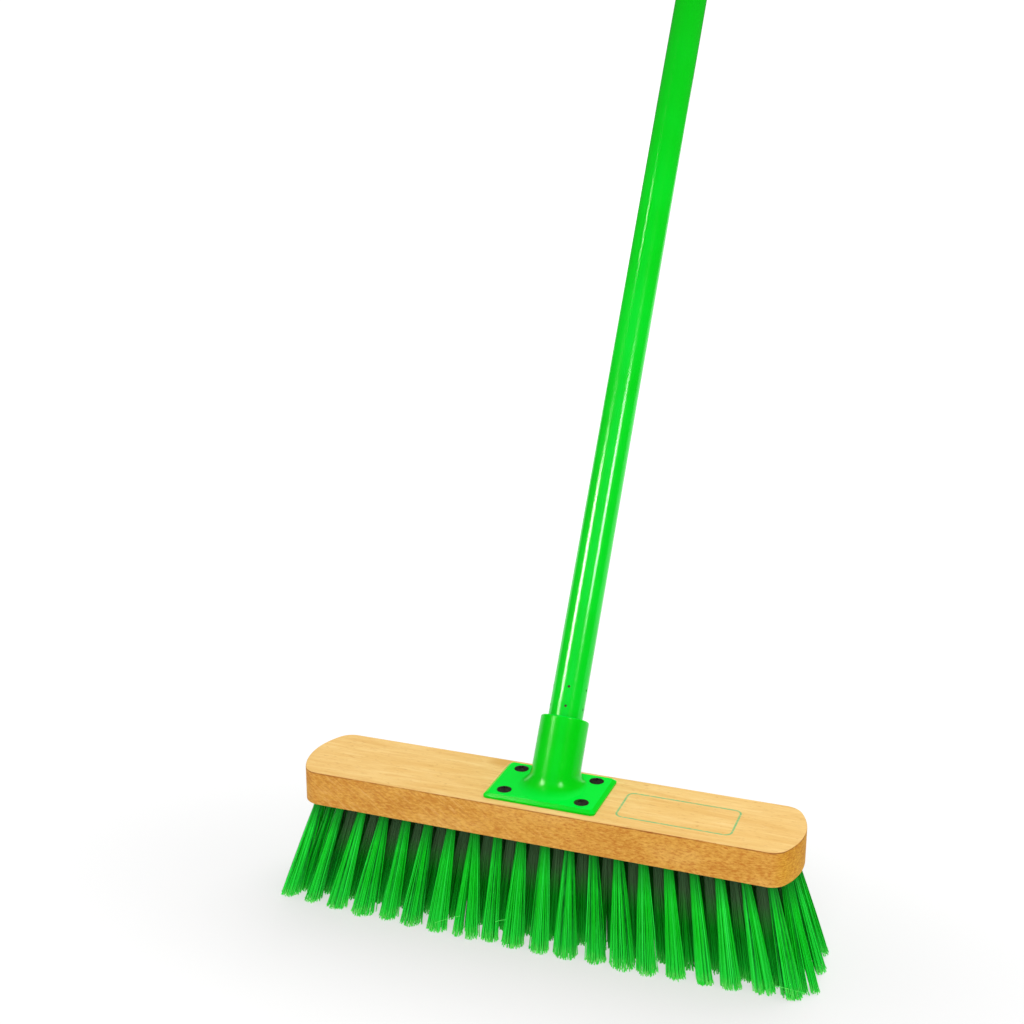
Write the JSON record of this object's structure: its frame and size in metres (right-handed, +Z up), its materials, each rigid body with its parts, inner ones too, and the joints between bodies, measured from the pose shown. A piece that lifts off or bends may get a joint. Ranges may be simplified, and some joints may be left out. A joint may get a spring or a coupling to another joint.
{
  "type": "push broom",
  "caption": "Push broom: wooden block with splayed rows of plastic bristle tufts, a screwed-on leaning socket bracket and a coated tube handle that unscrews.",
  "frame": {"origin": "on the floor plane under the trimmed bristle tips, at mid depth of the head, in the upright plane that holds the handle's axis", "axes": "+X along the block, +Y back towards the person pushing (the way the handle leans), +Z up"},
  "size_m": [0.3403, 0.6671, 1.1239],
  "materials": {
    "beech": "planed and lightly sealed",
    "bristle_front": "drawn filament, flagged ends",
    "bristle_inner": "drawn filament, flagged ends",
    "anchor_wire": "flat drawn wire",
    "bracket_plastic": "moulded, glossy",
    "screw_black": "black oxide",
    "tube_steel": "welded thin-wall tube, dark rolled skin",
    "handle_coating": "glossy shrunk coating",
    "tip_plastic": "moulded",
    "cap_plastic": "moulded, glossy"
  },
  "bodies": {
    "head": {"block": "beech", "bracket_screws": "screw_black", "socket_bracket": "bracket_plastic", "tufts_row_1": "bristle_front", "tufts_row_2": "bristle_inner", "tufts_row_3": "bristle_inner", "tufts_row_4": "bristle_inner", "tufts_row_5": "bristle_front", "staples_row_1": "anchor_wire", "staples_row_2": "anchor_wire", "staples_row_3": "anchor_wire", "staples_row_4": "anchor_wire", "staples_row_5": "anchor_wire"},
    "tube": {"steel_tube": "tube_steel"},
    "handle": {"handle_sleeve": "handle_coating", "threaded_tip": "tip_plastic", "end_cap": "cap_plastic"}
  },
  "joints": [
    {"name": "handle_lift", "type": "slide", "parent": "head", "child": "tube", "axis": [0, 0.512, 0.859], "range_m": [0, 0.02]},
    {"name": "handle_unscrew", "type": "hinge", "parent": "tube", "child": "handle", "pos_m": [0, 0.0011, 0.084], "axis": [0, 0.512, 0.859], "range_deg": [0, 1440.5]}
  ],
  "couplings": [
    {"joint": "handle_unscrew", "follows": "handle_lift", "rad_per_m": 1256.6}
  ]
}
